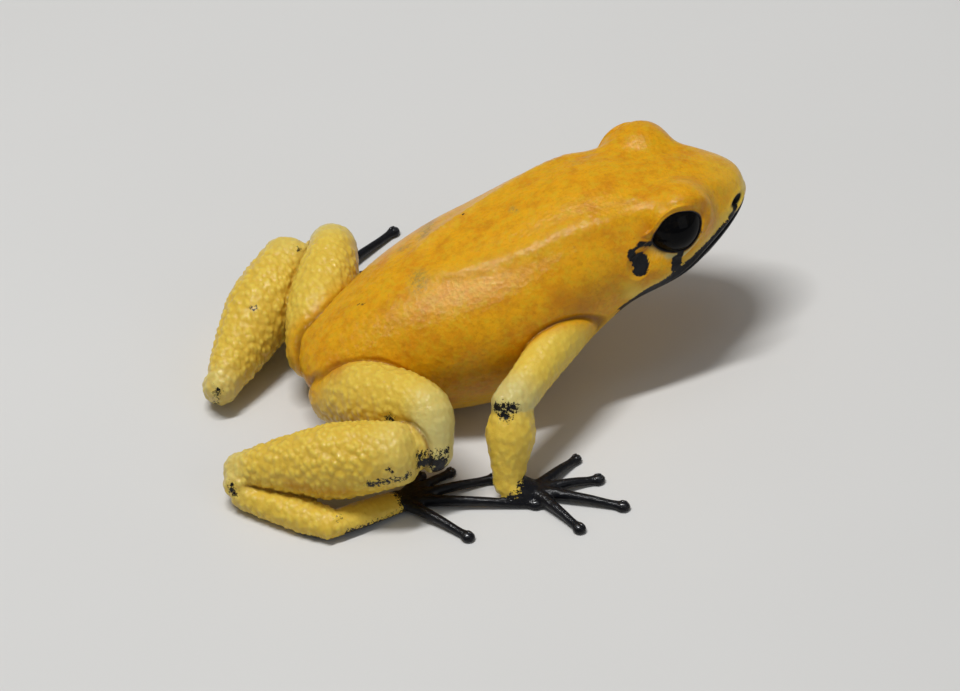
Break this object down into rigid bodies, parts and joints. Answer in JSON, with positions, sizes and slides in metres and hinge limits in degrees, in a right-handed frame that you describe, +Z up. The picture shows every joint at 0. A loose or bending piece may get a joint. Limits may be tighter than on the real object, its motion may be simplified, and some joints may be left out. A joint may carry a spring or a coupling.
{
  "type": "golden poison frog model",
  "caption": "Life-size still model of a golden poison frog sitting on its belly, hands and feet with its forequarters raised.",
  "frame": {"origin": "on the floor, below the middle of the whole frog's box", "axes": "+X forward from vent to snout, +Y to the frog's left, +Z up from the floor"},
  "size_m": [0.0554, 0.051, 0.0194],
  "materials": {
    "golden_skin": "moist skin, satin to glossy, deep golden orange",
    "lemon_skin": "finely granular moist skin, lemon yellow",
    "black_skin": "moist black skin",
    "gloss_black": "wet gloss black"
  },
  "bodies": {
    "root": {"head": "golden_skin", "lower_jaw": "golden_skin", "torso": "golden_skin", "eye_right": "gloss_black", "eye_left": "gloss_black", "tympanum_right": "gloss_black", "tympanum_left": "gloss_black", "upper_arm_right": "lemon_skin", "upper_arm_left": "lemon_skin", "forearm_right": "lemon_skin", "forearm_left": "lemon_skin", "hand_right": "black_skin", "hand_left": "black_skin", "thigh_right": "lemon_skin", "thigh_left": "lemon_skin", "shank_right": "lemon_skin", "shank_left": "lemon_skin", "tarsus_right": "lemon_skin", "tarsus_left": "lemon_skin", "foot_right": "black_skin", "foot_left": "black_skin"}
  },
  "joints": []
}
